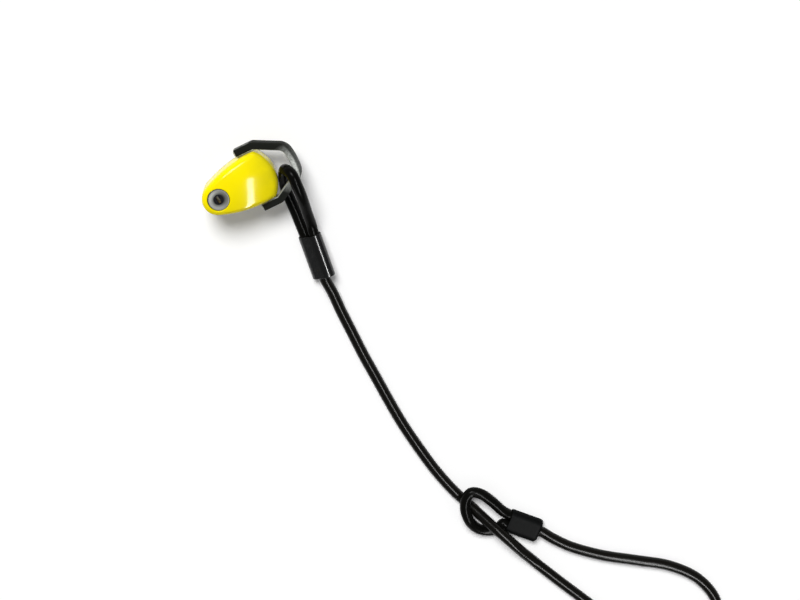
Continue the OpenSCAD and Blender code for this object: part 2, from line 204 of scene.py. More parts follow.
class Skin:
    """Grids of points, in millimetres, gathered into one mesh."""

    def __init__(self) -> None:
        """Starts with no points."""
        self.points: list[np.ndarray] = []
        self.faces: list[np.ndarray] = []
        self.total = 0

    def add(self, grid: np.ndarray, along: bool = False) -> None:
        """Joins neighbouring points of a grid, whose columns close on themselves, into four-sided faces.

        Args:
            grid: rows by columns by 3.
            along: whether the rows close on themselves too.
        """
        rows, cols = grid.shape[:2]
        index = self.total + np.arange(rows * cols).reshape(rows, cols)
        index = np.hstack([index, index[:, :1]])
        if along:
            index = np.vstack([index, index[:1]])
        quads = np.stack([index[:-1, :-1], index[:-1, 1:], index[1:, 1:], index[1:, :-1]], -1)
        self.points.append(grid.reshape(-1, 3))
        self.faces.append(quads.reshape(-1, 4))
        self.total += rows * cols

    def capped(self, grid: np.ndarray) -> None:
        """Adds a tube and closes both its ends at their middles.

        Args:
            grid: rows by columns by 3.
        """
        ends = [np.broadcast_to(row.mean(0), row.shape)[None] for row in (grid[0], grid[-1])]
        self.add(np.concatenate([ends[0], grid, ends[1]]))

    def piece(self, name: str, sharp: float) -> bpy.types.Object:
        """Makes the object, with doubled points merged and faces turned outwards.

        Args:
            name: the piece's name.
            sharp: edges that bend more than this, in degrees, stay crisp.

        Returns:
            The new object, at the origin.
        """
        mesh = bpy.data.meshes.new(name)
        mesh.from_pydata((np.vstack(self.points) * MM).tolist(), [], np.vstack(self.faces).tolist())
        bm = bmesh.new()
        bm.from_mesh(mesh)
        bmesh.ops.remove_doubles(bm, verts=bm.verts, dist=DOUBLE_WITHIN * MM)
        bmesh.ops.recalc_face_normals(bm, faces=bm.faces)
        bm.to_mesh(mesh)
        bm.free()
        return shown(mesh, name, sharp)


def shown(mesh: bpy.types.Mesh, name: str, sharp: float) -> bpy.types.Object:
    """Puts a mesh into the scene with smooth faces and crisp edges.

    Args:
        mesh: the mesh.
        name: the object's name.
        sharp: edges that bend more than this, in degrees, stay crisp.

    Returns:
        The new object.
    """
    mesh.polygons.foreach_set("use_smooth", np.ones(len(mesh.polygons), bool))
    mesh.set_sharp_from_angle(angle=math.radians(sharp))
    obj = bpy.data.objects.new(name, mesh)
    bpy.context.scene.collection.objects.link(obj)
    return obj


# finishes


def linear(code: str) -> tuple[float, float, float, float]:
    """Turns an sRGB hex colour into linear red, green, blue and alpha.

    Args:
        code: six hex digits.

    Returns:
        Four numbers from 0 to 1.
    """
    c = np.array([int(code[i:i + 2], 16) for i in (0, 2, 4)]) / 255.0
    rgb = np.where(c <= 0.04045, c / 12.92, ((c + 0.055) / 1.055) ** 2.4)
    return (*rgb.tolist(), 1.0)


def add(tree: bpy.types.NodeTree, kind: str, sockets: dict | None = None,
        **settings: object) -> bpy.types.Node:
    """Adds a node, sets its properties, and fills or links its inputs.

    Args:
        tree: the node tree.
        kind: the node's type.
        sockets: input name or number to a value, or to an output socket to link.
        **settings: the node's own properties.

    Returns:
        The node.
    """
    node = tree.nodes.new(kind)
    for key, value in settings.items():
        setattr(node, key, value)
    for key, value in (sockets or {}).items():
        if isinstance(value, bpy.types.NodeSocket):
            tree.links.new(value, node.inputs[key])
        else:
            node.inputs[key].default_value = value
    return node


class Finish:
    """A material that one shader draws: each kind of finish fills that shader's inputs."""

    name: str

    def inputs(self, tree: bpy.types.NodeTree) -> dict[str, object]:
        """Works out the shader's inputs.

        Args:
            tree: the material's tree.

        Returns:
            Input name to a value, or to an output socket to link.
        """
        raise NotImplementedError

    def material(self) -> bpy.types.Material:
        """Builds the material.

        Returns:
            The material.
        """
        material = bpy.data.materials.new(self.name)
        material.use_nodes = True
        tree = material.node_tree
        tree.nodes.clear()
        out = tree.nodes.new("ShaderNodeOutputMaterial")
        skin = add(tree, "ShaderNodeBsdfPrincipled", self.inputs(tree))
        tree.links.new(skin.outputs["BSDF"], out.inputs["Surface"])
        return material


@dataclass(frozen=True)
class GlossPaint(Finish):
    """Stoved gloss paint over a zinc casting: a faintly rippled skin, with painted shade towards the rear."""

    name: str
    colour: str
    shade: str
    rear_shade: str
    rear_shade_x: tuple[float, float] = (36.0, 62.0)
    rear_shade_noise: tuple[float, float] = (0.3, 0.6)
    rear_shade_share: tuple[float, float] = (0.5, 1.0)
    roughness: tuple[float, float] = (0.08, 0.17)
    shine: float = 0.15
    cloud_mm: float = 16.67
    ripple_mm: float = 2.2
    ripple_depth_mm: float = 0.012

    def inputs(self, tree: bpy.types.NodeTree) -> dict[str, object]:
        """Works out the shader's inputs.

        Args:
            tree: the material's tree.

        Returns:
            Input name to a value, or to an output socket to link.
        """
        place = add(tree, "ShaderNodeTexCoord").outputs["Object"]
        cloud = add(tree, "ShaderNodeTexNoise", {
            "Vector": place, "Scale": 1 / (self.cloud_mm * MM), "Detail": 3.0}).outputs["Fac"]
        tint = add(tree, "ShaderNodeMix", {
            "Factor": cloud, "A": linear(self.colour), "B": linear(self.shade)}, data_type="RGBA")
        # painted shade: towards the rear the yellow is mixed, in noisy patches, with a darker yellow
        x = add(tree, "ShaderNodeSeparateXYZ", {"Vector": place}).outputs["X"]
        rear = add(tree, "ShaderNodeMapRange", {
            "Value": x, "From Min": self.rear_shade_x[0] * MM, "From Max": self.rear_shade_x[1] * MM})
        shade_patches = add(tree, "ShaderNodeMapRange", {
            "Value": cloud, "From Min": self.rear_shade_noise[0], "From Max": self.rear_shade_noise[1],
            "To Min": self.rear_shade_share[0], "To Max": self.rear_shade_share[1]})
        share = add(tree, "ShaderNodeMath", {0: rear.outputs["Result"], 1: shade_patches.outputs["Result"]},
                    operation="MULTIPLY")
        shaded = add(tree, "ShaderNodeMix", {
            "Factor": share.outputs["Value"], "A": tint.outputs["Result"], "B": linear(self.rear_shade)},
            data_type="RGBA")
        peel = add(tree, "ShaderNodeTexNoise", {
            "Vector": place, "Scale": 1 / (self.ripple_mm * MM), "Detail": 2.0})
        bump = add(tree, "ShaderNodeBump", {
            "Height": peel.outputs["Fac"], "Strength": 1.0, "Distance": self.ripple_depth_mm * MM})
        rough = add(tree, "ShaderNodeMapRange", {
            "Value": cloud, "To Min": self.roughness[0], "To Max": self.roughness[1]})
        return {"Base Color": shaded.outputs["Result"], "Roughness": rough.outputs["Result"],
                "Normal": bump.outputs["Normal"], "Specular IOR Level": self.shine}


class Grain(Enum):
    """How a metal's surface was made: it sets the pattern of its grain."""

    CAST = "cast"
    TURNED = "turned"


@dataclass(frozen=True)
class Steel(Finish):
    """Bare or plated metal: its grain shows as fine ridges and as a change of shine.

    Real grain is finer than a pixel, so it is drawn as coarse as it needs to show. A painted shade, if
    one is named, is full at the first radius from the pin's axis and gone at the second.
    """

    name: str
    colour: str
    shade: str
    grain: Grain
    roughness: float
    grain_mm: float = 0.8
    depth_mm: float = 0.01
    core_shade: str = ""
    core_shade_r: tuple[float, float] = (4.8, 7.8)
    rough_span: tuple[float, float] = (-0.07, 0.1)
    cloud_mm: float = 11.11

    def radius(self, tree: bpy.types.NodeTree) -> bpy.types.NodeSocket:
        """Distance from the pin's axis."""
        place = add(tree, "ShaderNodeTexCoord").outputs["Object"]
        flat = add(tree, "ShaderNodeVectorMath", {0: place, 1: (1.0, 1.0, 0.0)}, operation="MULTIPLY")
        away = add(tree, "ShaderNodeVectorMath", {0: flat.outputs["Vector"]}, operation="LENGTH")
        return away.outputs["Value"]

    def pattern(self, tree: bpy.types.NodeTree) -> bpy.types.NodeSocket:
        """The grain as a number from 0 to 1: rings about the pin's axis, or even pits.

        Args:
            tree: the material's tree.

        Returns:
            The socket that holds it.
        """
        pitch = 1 / (self.grain_mm * MM)
        if self.grain is Grain.TURNED:
            rings = add(tree, "ShaderNodeTexNoise", {"W": self.radius(tree), "Scale": pitch, "Detail": 3.0},
                        noise_dimensions="1D")
            return rings.outputs["Fac"]
        place = add(tree, "ShaderNodeTexCoord").outputs["Object"]
        pits = add(tree, "ShaderNodeTexNoise", {"Vector": place, "Scale": pitch, "Detail": 4.0})
        return pits.outputs["Fac"]

    def inputs(self, tree: bpy.types.NodeTree) -> dict[str, object]:
        """Works out the shader's inputs.

        Args:
            tree: the material's tree.

        Returns:
            Input name to a value, or to an output socket to link.
        """
        grain = self.pattern(tree)
        place = add(tree, "ShaderNodeTexCoord").outputs["Object"]
        cloud = add(tree, "ShaderNodeTexNoise", {
            "Vector": place, "Scale": 1 / (self.cloud_mm * MM), "Detail": 4.0})
        tint = add(tree, "ShaderNodeMix", {
            "Factor": cloud.outputs["Fac"], "A": linear(self.colour), "B": linear(self.shade)},
            data_type="RGBA")
        # painted shade: the colour darkens towards the key core at the bottom of the dish
        if self.core_shade:
            full, gone = self.core_shade_r
            share = add(tree, "ShaderNodeMapRange", {
                "Value": self.radius(tree), "From Min": gone * MM, "From Max": full * MM})
            tint = add(tree, "ShaderNodeMix", {
                "Factor": share.outputs["Result"], "A": tint.outputs["Result"], "B": linear(self.core_shade)},
                data_type="RGBA")
        low, high = (self.roughness + v for v in self.rough_span)
        rough = add(tree, "ShaderNodeMapRange", {"Value": grain, "To Min": low, "To Max": high})
        bump = add(tree, "ShaderNodeBump", {
            "Height": grain, "Strength": 1.0, "Distance": self.depth_mm * MM})
        return {"Base Color": tint.outputs["Result"], "Roughness": rough.outputs["Result"],
                "Normal": bump.outputs["Normal"], "Metallic": 1.0}


@dataclass(frozen=True)
class Vinyl(Finish):
    """Extruded or dipped PVC: a dark skin with long soft highlights and faint handling marks."""

    name: str
    colour: str
    shade: str
    roughness: float
    mark_mm: float
    depth_mm: float
    shine: float = 0.2
    rough_span: tuple[float, float] = (-0.06, 0.08)

    def inputs(self, tree: bpy.types.NodeTree) -> dict[str, object]:
        """Works out the shader's inputs.

        Args:
            tree: the material's tree.

        Returns:
            Input name to a value, or to an output socket to link.
        """
        place = add(tree, "ShaderNodeTexCoord").outputs["Object"]
        marks = add(tree, "ShaderNodeTexNoise", {
            "Vector": place, "Scale": 1 / (self.mark_mm * MM), "Detail": 3.0}).outputs["Fac"]
        tint = add(tree, "ShaderNodeMix", {
            "Factor": marks, "A": linear(self.colour), "B": linear(self.shade)}, data_type="RGBA")
        low, high = (self.roughness + v for v in self.rough_span)
        rough = add(tree, "ShaderNodeMapRange", {"Value": marks, "To Min": low, "To Max": high})
        bump = add(tree, "ShaderNodeBump", {
            "Height": marks, "Strength": 1.0, "Distance": self.depth_mm * MM})
        return {"Base Color": tint.outputs["Result"], "Roughness": rough.outputs["Result"],
                "Normal": bump.outputs["Normal"], "Specular IOR Level": self.shine}


@dataclass(frozen=True)
class WornCoat(Finish):
    """A dark coat on a steel strap, rubbed off where the cable chafes it, with a painted highlight on its
    inner faces and sawn ends.

    Inner faces and sawn ends, which look to the middle plane or to the nose, take the pale metal colour
    as a painted highlight. Faces that look up are bare near the place where the cable hangs: the bare
    share falls to none between the two distances of reach. A rim along the back's outer circle, whose
    centre is at rim_x, keeps most of its coat, and so do the side faces. Specks break up both the wear
    and the painted highlight.
    """

    name: str
    coat: str
    bare_and_lit: str
    chafed: tuple[float, float, float]
    reach: tuple[float, float] = (4.0, 26.0)
    rim_x: float = 16.5
    rim: tuple[float, float] = (66.0, 67.5)
    rub: float = 0.2
    lit_facing: tuple[float, float] = (-0.25, -0.5)
    looks_up: tuple[float, float] = (0.3, 0.8)
    speck_noise: tuple[float, float] = (0.3, 0.7)
    speck_share: tuple[float, float] = (0.6, 1.3)
    roughness: tuple[float, float] = (0.45, 0.65)
    metal: float = 0.45
    speck_mm: float = 1.6
    depth_mm: float = 0.05
    shine: float = 0.06

    def bared_and_lit(self, tree: bpy.types.NodeTree, speck: bpy.types.NodeSocket) -> bpy.types.NodeSocket:
        """The share of rubbed bare metal and of painted highlight, from 0 to 1.

        Args:
            tree: the material's tree.
            speck: noise that breaks the wear up.

        Returns:
            The socket that holds it.
        """
        place = add(tree, "ShaderNodeTexCoord").outputs["Object"]
        plan = add(tree, "ShaderNodeVectorMath", {0: place, 1: (1.0, 1.0, 0.0)},
                   operation="MULTIPLY").outputs["Vector"]
        normal = add(tree, "ShaderNodeNewGeometry").outputs["Normal"]
        facing = add(tree, "ShaderNodeSeparateXYZ", {"Vector": normal}).outputs

        def near(centre: tuple[float, float, float], full: float, none: float) -> bpy.types.NodeSocket:
            """One up to a distance from a centre in plan, falling to nought at another.

            Args:
                centre: the centre.
                full: distance up to which it is one.
                none: distance at which it is nought.

            Returns:
                The socket that holds it.
            """
            spot = tuple(v * MM for v in centre)
            away = add(tree, "ShaderNodeVectorMath", {0: plan, 1: spot}, operation="DISTANCE")
            return add(tree, "ShaderNodeMapRange", {
                "Value": away.outputs["Value"], "From Min": none * MM,
                "From Max": full * MM}).outputs["Result"]

        def merge(operation: str, *values: bpy.types.NodeSocket) -> bpy.types.NodeSocket:
            """Two numbers put together, or one changed."""
            return add(tree, "ShaderNodeMath", dict(enumerate(values)), operation=operation).outputs["Value"]

        # painted highlight: faces that look to the middle plane or to the nose take the pale metal colour
        side = merge("SIGN", add(tree, "ShaderNodeSeparateXYZ", {"Vector": place}).outputs["Y"])
        outwards = merge("MINIMUM", merge("MULTIPLY", side, facing["Y"]), facing["X"])
        inner = add(tree, "ShaderNodeMapRange", {
            "Value": outwards, "From Min": self.lit_facing[0], "From Max": self.lit_facing[1]})
        level = add(tree, "ShaderNodeMapRange", {
            "Value": facing["Z"], "From Min": self.looks_up[0], "From Max": self.looks_up[1]})
        top = merge("MULTIPLY", level.outputs["Result"], near((self.rim_x, 0.0, 0.0), *self.rim))
        kept = add(tree, "ShaderNodeMapRange", {"Value": top, "To Min": self.rub})
        rubbed = merge("MULTIPLY", kept.outputs["Result"], near(self.chafed, *self.reach))
        # rubbed wear and painted highlight together
        worn_and_lit = merge("MAXIMUM", rubbed, inner.outputs["Result"])
        spread = add(tree, "ShaderNodeMapRange", {
            "Value": speck, "From Min": self.speck_noise[0], "From Max": self.speck_noise[1],
            "To Min": self.speck_share[0], "To Max": self.speck_share[1]})
        share = add(tree, "ShaderNodeMath", {0: worn_and_lit, 1: spread.outputs["Result"]},
                    operation="MULTIPLY", use_clamp=True)
        return share.outputs["Value"]

    def inputs(self, tree: bpy.types.NodeTree) -> dict[str, object]:
        """Works out the shader's inputs.

        Args:
            tree: the material's tree.

        Returns:
            Input name to a value, or to an output socket to link.
        """
        place = add(tree, "ShaderNodeTexCoord").outputs["Object"]
        speck = add(tree, "ShaderNodeTexNoise", {
            "Vector": place, "Scale": 1 / (self.speck_mm * MM), "Detail": 4.0}).outputs["Fac"]
        bare_and_lit = self.bared_and_lit(tree, speck)
        tint = add(tree, "ShaderNodeMix", {
            "Factor": bare_and_lit, "A": linear(self.coat), "B": linear(self.bare_and_lit)}, data_type="RGBA")
        metal = add(tree, "ShaderNodeMath", {0: bare_and_lit, 1: self.metal}, operation="MULTIPLY")
        rough = add(tree, "ShaderNodeMapRange", {
            "Value": speck, "To Min": self.roughness[0], "To Max": self.roughness[1]})
        bump = add(tree, "ShaderNodeBump", {
            "Height": speck, "Strength": 1.0, "Distance": self.depth_mm * MM})
        return {"Base Color": tint.outputs["Result"], "Roughness": rough.outputs["Result"],
                "Normal": bump.outputs["Normal"], "Metallic": metal.outputs["Value"],
                "Specular IOR Level": self.shine}


@dataclass(frozen=True)
class PaleFloor(Finish):
    """Matt paper that glows a little, so that it stays pale."""

    name: str = "pale_floor"
    colour: str = "f4f4f4"
    roughness: float = 0.9
    glow: float = 0.1

    def inputs(self, tree: bpy.types.NodeTree) -> dict[str, object]:
        """Plain values for the shader's inputs."""
        return {"Base Color": linear(self.colour), "Roughness": self.roughness, "Specular IOR Level": 0.0,
                "Emission Color": WHITE, "Emission Strength": self.glow}


class Finishes:
    """Every material of the lock and its cable, made once."""

    def __init__(self) -> None:
        """Builds the materials."""
        # stoved paint: a deep even yellow with broad soft highlights, and painted shade towards the rear
        self.paint = GlossPaint("yellow_gloss_paint", "f8e600", "f2dd00", rear_shade="cfc312").material()
        # coated strap: nearly black, pale and half metallic where rubbed, with a painted highlight on inner
        # faces and sawn ends
        self.strap = WornCoat(
            "olive_coated_steel", "12140f", "babdb8", chafed=(78.0, -7.0, 0.0)).material()
        # chromated rivets: dull olive, a little lighter than the strap's coat
        self.rivet = Steel("olive_chromate_rivets", "4a5045", "3c4238", Grain.CAST, roughness=0.35).material()
        # tumbled and plated casting: a soft grey sheen over fine pits
        self.casting = Steel("nickel_plated_casting", "8e918c", "7d807b", Grain.CAST,
                             roughness=0.38).material()
        # turned hard steel: fine rings in a dull grey, with painted shade darkening it towards the recessed
        # key core
        self.face = Steel("turned_hard_steel", "6f706d", "636461", Grain.TURNED, roughness=0.55,
                          grain_mm=0.35, depth_mm=0.006, core_shade="2c2d2c").material()
        # plated barrel and ground pin: bright, with faint rings
        self.barrel = Steel("nickel_plated_barrel", "b4b5b4", "a4a5a4", Grain.TURNED, roughness=0.25,
                            grain_mm=0.5, depth_mm=0.004).material()
        self.pin = Steel("ground_pin_steel", "c2c3c4", "b0b1b3", Grain.TURNED, roughness=0.18,
                         grain_mm=0.5, depth_mm=0.002).material()
        # oxide on steel: almost black, with a dull oiled sheen
        self.oxide = Steel("black_oxide_steel", "18181b", "111113", Grain.CAST, roughness=0.55).material()
        # brass discs in the keyway: browned by age
        self.brass = Steel("aged_brass", "8a7442", "766236", Grain.TURNED, roughness=0.35,
                           grain_mm=0.5, depth_mm=0.004).material()
        # pressed ferrules: pale soft metal with shallow dents
        self.alloy = Steel("pressed_aluminium", "c4c5c6", "adaeb0", Grain.CAST, roughness=0.40,
                           grain_mm=1.5, depth_mm=0.02).material()
        # extruded cover: black with one thin bright line along it, weaker where it is rubbed
        self.cable = Vinyl("black_vinyl_cable", "0f0e0b", "0a0907",
                           roughness=0.2, mark_mm=4.0, depth_mm=0.01, shine=0.12).material()
        self.eye = Vinyl("rubbed_vinyl_eye", "0c0c0a", "080807",
                         roughness=0.2, mark_mm=4.0, depth_mm=0.01, shine=0.04).material()
        # dipped sleeves: one polished, one matt
        self.shroud = Vinyl("black_vinyl_shroud", "060707", "040505",
                            roughness=0.18, mark_mm=6.0, depth_mm=0.03, shine=0.48).material()
        self.matt = Vinyl("matt_vinyl_shroud", "080909", "050606",
                          roughness=0.5, mark_mm=2.0, depth_mm=0.03, shine=0.04).material()
        # moulded seal: a soft even black
        self.rubber = Vinyl("black_nitrile_rubber", "1a1a1a", "121212",
                            roughness=0.55, mark_mm=1.0, depth_mm=0.01).material()


def dress(obj: bpy.types.Object, material: bpy.types.Material, body: Body,
          node: str) -> bpy.types.Object:
    """Gives a new piece its material and body, and hides the CAD solid that it stands for.

    Args:
        obj: the piece.
        material: its material.
        body: the body that carries it.
        node: the CAD node that it replaces.

    Returns:
        The piece.
    """
    obj.data.materials.append(material)
    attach(obj, body.value)
    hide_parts(node)
    log.info("%s: %d faces on %s", obj.name, len(obj.data.polygons), body.value)
    return obj


def repaint(node: bpy.types.Object, material: bpy.types.Material) -> None:
    """Gives a CAD solid that stays as it is a finished material."""
    node.data.materials.clear()
    node.data.materials.append(material)
    log.info("%s: repainted", node.name)


# sub-assemblies


@dataclass
class WedgePlan:
    """The plan that the shell and the bracket share: round nose, two bowed flanks, a bowed rear.

    The counts are points on half the nose, a flank, a corner and half the rear.
    """

    nose_r: float = 16.5
    flank_angle: float = 23.5
    flank_r: float = 125.0
    rear_x: float = 61.5
    rear_r: float = 35.0
    corner_r: float = 6.0
    counts: tuple[int, int, int, int] = (33, 25, 13, 25)

    @property
    def flank_centre(self) -> np.ndarray:
        """Centre of the upper flank's circle, which touches the nose's from outside."""
        a = math.radians(90.0 + self.flank_angle)
        return (self.nose_r - self.flank_r) * np.array([math.cos(a), math.sin(a)])

    @property
    def widest(self) -> np.ndarray:
        """The point of the upper flank that lies farthest from the middle plane."""
        return self.flank_centre + np.array([0.0, self.flank_r])

    def corner_centre(self) -> np.ndarray:
        """Centre of the corner's arc: corner_r inside both the flank's and the rear's circle.

        Returns:
            The centre, as two numbers.
        """
        flank, rear = self.flank_centre, np.array([self.rear_x - self.rear_r, 0.0])
        near, far = self.flank_r - self.corner_r, self.rear_r - self.corner_r
        gap = float(np.linalg.norm(rear - flank))
        u = (rear - flank) / gap
        along = (near ** 2 - far ** 2 + gap ** 2) / (2 * gap)
        return flank + along * u + math.sqrt(near ** 2 - along ** 2) * np.array([u[1], -u[0]])

    def outline(self, inset: float) -> np.ndarray:
        """The outline drawn in by an inset: four arcs about fixed centres, and their mirror image.

        Args:
            inset: distance inside the outer face.

        Returns:
            A closed outline, clockwise from the nose.
        """
        def angle(q: np.ndarray, o: np.ndarray) -> float:
            """Direction from o to q, degrees."""
            return math.degrees(math.atan2(q[1] - o[1], q[0] - o[0]))

        corner, rear = self.corner_centre(), np.array([self.rear_x - self.rear_r, 0.0])
        leave = 90.0 + self.flank_angle
        enter, turn = angle(corner, self.flank_centre), angle(corner, rear)
        half = np.vstack([
            arc((0.0, 0.0), self.nose_r - inset, 180.0, leave, self.counts[0]),
            arc(self.flank_centre, self.flank_r - inset, leave, enter, self.counts[1])[1:],
            arc(corner, self.corner_r - inset, enter, turn, self.counts[2])[1:],
            arc(rear, self.rear_r - inset, turn, 0.0, self.counts[3])[1:]])
        return np.vstack([half, half[-2:0:-1] * (1, -1)])


@dataclass
class ShellCover:
    """The yellow cover: a wedge with a level nose that falls away to its rear and flanks.

    lip_mid is the share of lip_r by which the middle of the lip's rounding is drawn in.
    """

    plan: WedgePlan
    edge_r: float = 5.0
    wall: float = 2.5
    crown_z: float = 51.5
    crown_x: float = 10.0
    crown_rx: float = 130.0
    crown_ry: float = 70.0
    hole_r: float = 11.0
    rim_r: float = 0.9
    lip_z: float = 19.5
    lip_r: float = 0.5
    lip_mid: float = 0.3
    ceiling_z: float = 36.8
    collar_r: float = 13.75
    collar_z: float = 46.8
    rim_rows: int = 6
    top_rows: int = 20
    edge_rows: int = 12
    side_rows: int = 6

    def crown(self, xy: np.ndarray) -> np.ndarray:
        """Height of the top: crown_z less x squared behind the nose and y squared across it."""
        fall = np.maximum(xy[..., 0] - self.crown_x, 0) ** 2 / (2 * self.crown_rx)
        return self.crown_z - fall - xy[..., 1] ** 2 / (2 * self.crown_ry)

    def ring(self, radius: float) -> np.ndarray:
        """A circle about the pin whose points lie opposite the outline's."""
        return radius * unit(self.plan.outline(self.edge_r))

    def rows(self) -> np.ndarray:
        """Rows from the hole's wall over the top, down the outside, round the lip and back inside.

        Returns:
            A grid of points that closes both ways.
        """
        def at(xy: np.ndarray, z: float | np.ndarray) -> np.ndarray:
            """Plan points raised to a height."""
            return np.concatenate([xy, np.broadcast_to(np.reshape(z, (-1, 1)), (len(xy), 1))], -1)

        rows = [at(self.ring(self.hole_r), self.collar_z)]
        for q in np.radians(np.linspace(0, 90, self.rim_rows)):
            xy = self.ring(self.hole_r + self.rim_r * (1 - math.cos(q)))
            rows.append(at(xy, self.crown(xy) - self.rim_r * (1 - math.sin(q))))
        inner, outer = self.ring(self.hole_r + self.rim_r), self.plan.outline(self.edge_r)
        for s in np.linspace(0, 1, self.top_rows)[1:-1]:
            xy = inner + (outer - inner) * s
            rows.append(at(xy, self.crown(xy)))
        for q in np.radians(np.linspace(90, 0, self.edge_rows)):
            xy = self.plan.outline(self.edge_r * (1 - math.cos(q)))
            rows.append(at(xy, self.crown(xy) - self.edge_r * (1 - math.sin(q))))
        side = rows[-1][:, 2]
        for s in np.linspace(0, 1, self.side_rows)[1:]:
            rows.append(at(self.plan.outline(0.0), side + (self.lip_z + self.lip_r - side) * s))
        middle = self.lip_r * self.lip_mid
        rows.append(at(self.plan.outline(middle), self.lip_z + middle))
        rows.append(at(self.plan.outline(self.lip_r), self.lip_z))
        rows.append(at(self.plan.outline(self.wall), self.lip_z))
        rows.append(at(self.plan.outline(self.wall), self.ceiling_z))
        rows.append(at(self.ring(self.collar_r), self.ceiling_z))
        rows.append(at(self.ring(self.collar_r), self.collar_z))
        return np.stack(rows)

    def build(self, finishes: Finishes) -> None:
        """Makes the cover and puts it in its solid's place.

        Args:
            finishes: the materials.
        """
        skin = Skin()
        skin.add(self.rows(), along=True)
        dress(skin.piece("shell_cover", sharp=50.0), finishes.paint, Body.LOCK, "shell")


@dataclass
class CableBracket:
    """The bent steel strap behind the cover, and the rivets that hold it to the casting.

    bend_in and back_bend_in are the inner radii of its bends, and back_out is how much rounder
    its back is than half its width.
    """

    plan: WedgePlan
    standoff: float = 1.0
    strap_t: float = 7.5
    strap_h: float = 12.0
    root: float = 10.5
    shoulder: float = 8.5
    leg_angle: float = 28.0
    reach: float = 25.0
    back_out: float = 36.0
    slope: float = 6.0
    mid_z: float = 29.5
    edge_r: float = 1.2
    end_cut: float = 1.5
    bend_in: float = 1.5
    back_bend_in: float = 7.0
    bend_rows: int = 13
    straight_rows: int = 12
    rivets: tuple[float, float] = (-5.5, 3.5)
    rivet_r: float = 2.5
    head_r: float = 4.2
    head_h: float = 2.0
    head_dome: float = 0.35
    dome_rows: int = 7
    shank: float = 8.0
    sides: int = 32

    @property
    def pivot(self) -> np.ndarray:
        """Middle of both seats, about which the strap slopes."""
        return np.array([self.plan.widest[0], 0.0, self.mid_z])

    @property
    def shoulder_x(self) -> float:
        """Where each leg starts to bend inwards."""
        return self.plan.widest[0] + self.shoulder

    @property
    def back_x(self) -> float:
        """The strap's outermost point."""
        return self.plan.rear_x + self.reach

    def placed(self, points: np.ndarray) -> np.ndarray:
        """Turns points from the strap's own plane, which rises to the back, into the frame."""
        a = math.radians(-self.slope)
        x, y, z = points[..., 0] - self.pivot[0], points[..., 1], points[..., 2]
        turned = [x * math.cos(a) + z * math.sin(a), y, z * math.cos(a) - x * math.sin(a)]
        return np.stack(turned, -1) + self.pivot

    def middle(self) -> np.ndarray:
        """The strap's middle line in plan: flank, bend, leg, bend, bowed back and its mirror image.

        Returns:
            Points, n by 2.
        """
        half_t = self.strap_t / 2
        outer = self.plan.widest[1] + self.standoff + self.strap_t
        bend_r, back_bend_r = self.strap_t + self.bend_in, self.strap_t + self.back_bend_in
        back_r = outer + self.back_out
        bend = np.array([self.shoulder_x, outer - bend_r])
        leg_normal = 90.0 - self.leg_angle
        n = math.radians(leg_normal)
        distance = bend @ np.array([math.cos(n), math.sin(n)]) + bend_r
        back = self.back_x - back_r
        turn = blend_centre(leg_normal, distance, back_bend_r, back, back_r)
        last = math.degrees(math.atan2(turn[1], turn[0] - back))
        end = np.array([self.plan.widest[0] - self.root, outer - half_t])
        bow = arc(bend, bend_r - half_t, 90.0, leg_normal, self.bend_rows)
        cut = self.end_cut / float(bow[0][0] - end[0])
        share = np.concatenate([[0.0], np.linspace(cut, 1, self.straight_rows)[:-1]])
        start = end + (bow[0] - end) * share[:, None]
        corner = arc(turn, back_bend_r - half_t, leg_normal, last, self.bend_rows)
        leg = bow[-1] + (corner[0] - bow[-1]) * np.linspace(0, 1, self.straight_rows)[1:-1, None]
        rear = arc((back, 0.0), back_r - half_t, last, 0.0, self.bend_rows)
        half = np.vstack([start, bow, leg, corner, rear[1:]])
        return np.vstack([half, half[-2::-1] * (1, -1)])

    def section(self, cut: float) -> np.ndarray:
        """The strap's section, drawn in by a cut on every side.

        Args:
            cut: distance inside the strap's faces.

        Returns:
            The closed outline.
        """
        w, h, r = self.strap_t / 2 - cut, self.strap_h / 2 - cut, self.edge_r
        return rounded([(-w, -h, r), (w, -h, r), (w, h, r), (-w, h, r)])

    def build(self, finishes: Finishes) -> None:
        """Makes the strap, whose sawn ends are chamfered, and its rivets.

        Args:
            finishes: the materials.
        """
        line = self.middle()
        path = np.concatenate([line, np.zeros((len(line), 1))], -1)
        cut = np.zeros(len(line))
        cut[[0, -1]] = self.end_cut
        grid = sweep(path, np.stack([self.section(c) for c in cut]), (0, 0, 1))
        skin = Skin()
        skin.capped(self.placed(grid))
        strap = skin.piece("bracket_strap", sharp=35.0)
        dress(strap, finishes.strap, Body.LOCK, "cable_bracket")
        rivets = Skin()
        for side in (1, -1):
            for place in self.rivets:
                rivets.add(self.rivet(self.pivot[0] + place, side))
        heads = rivets.piece("bracket_rivet_heads", sharp=40.0)
        dress(heads, finishes.rivet, Body.LOCK, "bracket_rivets")

    def rivet(self, x: float, side: int) -> np.ndarray:
        """One rivet: a shank, a countersunk head and its shallow dome, square to the flank.

        Args:
            x: place along the flank.
            side: 1 for the upper flank, -1 for the lower.

        Returns:
            A grid of points.
        """
        rise = np.linspace(0, 1, self.dome_rows)
        dome = np.stack([self.head_r * (1 - rise), self.strap_t + self.head_dome * rise * (2 - rise)], -1)
        r, foot = self.rivet_r, -self.shank
        shank = np.array([(0.0, foot), (r, foot), (r, self.strap_t - self.head_h)])
        grid = lathe(np.vstack([shank, dome]), self.sides)
        seat = np.array([x, self.plan.widest[1] + self.standoff, 0.0])
        return self.placed((seat + grid[..., [0, 2, 1]]) * (1, side, 1))


